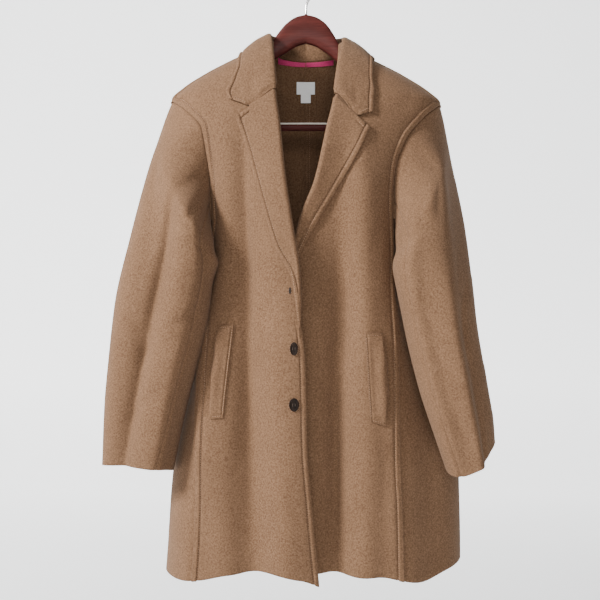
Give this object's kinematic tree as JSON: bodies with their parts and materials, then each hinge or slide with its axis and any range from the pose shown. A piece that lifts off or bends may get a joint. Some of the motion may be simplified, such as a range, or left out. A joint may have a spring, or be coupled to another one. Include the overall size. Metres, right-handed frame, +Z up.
{
  "type": "topcoat on a wooden hanger",
  "caption": "Single-breasted wool topcoat with notch lapels, slanted welt pockets and two-piece sleeves, hanging buttoned on a wooden suit hanger with a wire hook.",
  "frame": {"origin": "seat of the hanger's hook, where a rail carries it", "axes": "+Z up, -Y the way the coat faces, +X to the viewer's right"},
  "size_m": [0.5984, 0.2805, 0.9685],
  "materials": {
    "wool": "matte brushed melton, heathered camel",
    "button": "satin dark brown",
    "tape": "woven",
    "label": "woven, bare",
    "wood": "dark satin varnish",
    "hook": "polished wire"
  },
  "bodies": {
    "root": {"front_left": "wool", "front_right": "wool", "back_left": "wool", "back_right": "wool", "sleeve_top_left": "wool", "sleeve_top_right": "wool", "sleeve_under_left": "wool", "sleeve_under_right": "wool", "lapel_left": "wool", "lapel_right": "wool", "welt_left": "wool", "welt_right": "wool", "collar": "wool", "button_1": "button", "button_2": "button", "button_3": "button", "neck_tape": "tape", "label": "label", "size_tab": "label", "hanger_body": "wood", "hanger_bar": "wood", "hanger_hook": "hook"}
  },
  "joints": []
}
